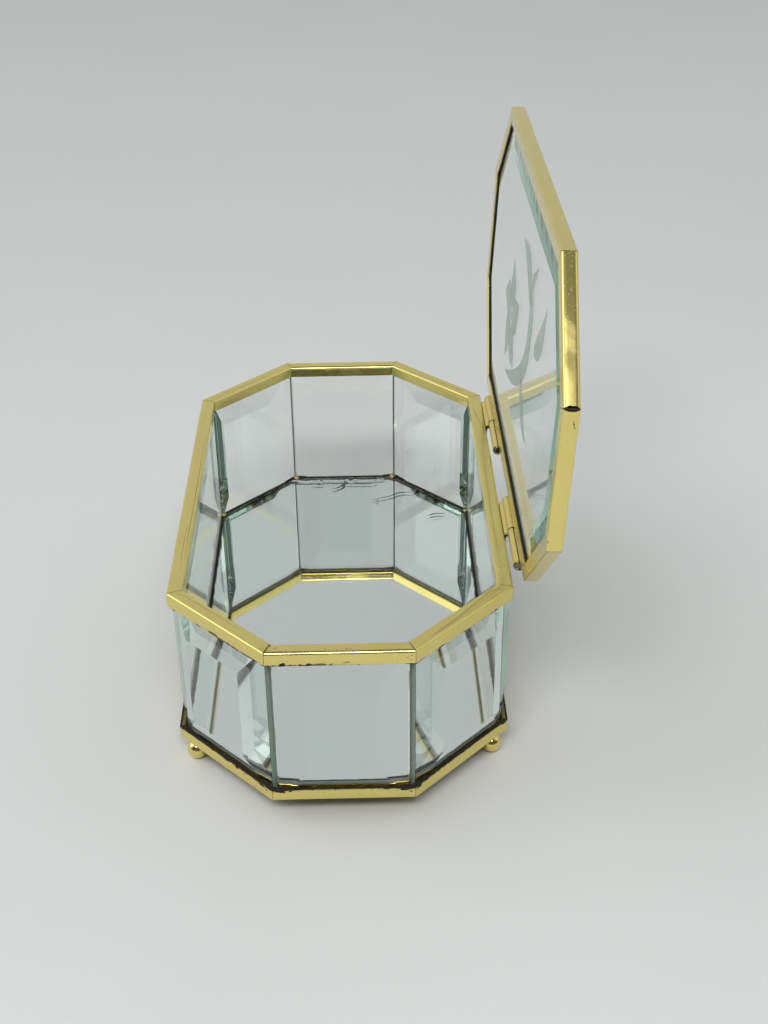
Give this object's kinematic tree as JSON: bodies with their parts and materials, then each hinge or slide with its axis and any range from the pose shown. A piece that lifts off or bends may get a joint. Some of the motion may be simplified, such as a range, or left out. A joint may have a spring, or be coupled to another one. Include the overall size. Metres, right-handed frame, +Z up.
{
  "type": "trinket box",
  "caption": "Eight-sided bevelled glass trinket box with a mirror floor, ball feet and a hinged glass lid in brass channel, for keeping small jewellery.",
  "frame": {"origin": "centre of the open box's footprint, on the table under the feet", "axes": "+X towards the hinged long side, +Y along the length, +Z up"},
  "size_m": [0.1121, 0.184, 0.1626],
  "materials": {
    "brass": "satin yellow-gold plate, worn and spotted along the edges",
    "foot_brass": "polished ball with a soldered seat",
    "hinge_brass": "rolled tube, duller than the channel",
    "glass": "clear with green edges and wide polished bevels",
    "lid_glass": "clear, wide bevel, a frosted flower spray on the inner face",
    "mirror": "silvered glass with worn silvering along its edges",
    "backing": "dark felt-covered card",
    "pin_steel": "dull grey wire"
  },
  "bodies": {
    "box": {"top_rim_front": "brass", "top_rim_front_right": "brass", "top_rim_hinge_side": "brass", "top_rim_back_right": "brass", "top_rim_back": "brass", "top_rim_back_left": "brass", "top_rim_left": "brass", "top_rim_front_left": "brass", "bottom_rim_front": "brass", "bottom_rim_front_right": "brass", "bottom_rim_hinge_side": "brass", "bottom_rim_back_right": "brass", "bottom_rim_back": "brass", "bottom_rim_back_left": "brass", "bottom_rim_left": "brass", "bottom_rim_front_left": "brass", "wall_glass_front": "glass", "wall_glass_front_right": "glass", "wall_glass_hinge_side": "glass", "wall_glass_back_right": "glass", "wall_glass_back": "glass", "wall_glass_back_left": "glass", "wall_glass_left": "glass", "wall_glass_front_left": "glass", "mirror_floor": "mirror", "floor_backing": "backing", "foot_front_left": "foot_brass", "foot_front_right": "foot_brass", "foot_back_right": "foot_brass", "foot_back_left": "foot_brass", "hinge_front_box_knuckle": "hinge_brass", "hinge_front_pin": "pin_steel", "hinge_back_box_knuckle": "hinge_brass", "hinge_back_pin": "pin_steel"},
    "lid": {"lid_frame_front": "brass", "lid_frame_front_right": "brass", "lid_frame_hinge_side": "brass", "lid_frame_back_right": "brass", "lid_frame_back": "brass", "lid_frame_back_left": "brass", "lid_frame_left": "brass", "lid_frame_front_left": "brass", "hinge_front_lid_knuckle": "hinge_brass", "hinge_back_lid_knuckle": "hinge_brass", "lid_glass": "lid_glass"}
  },
  "joints": [
    {"name": "lid_hinge", "type": "hinge", "parent": "box", "child": "lid", "pos_m": [0.0465, 0, 0.0602], "axis": [0, 1, 0], "range_deg": [-93, 0]}
  ]
}
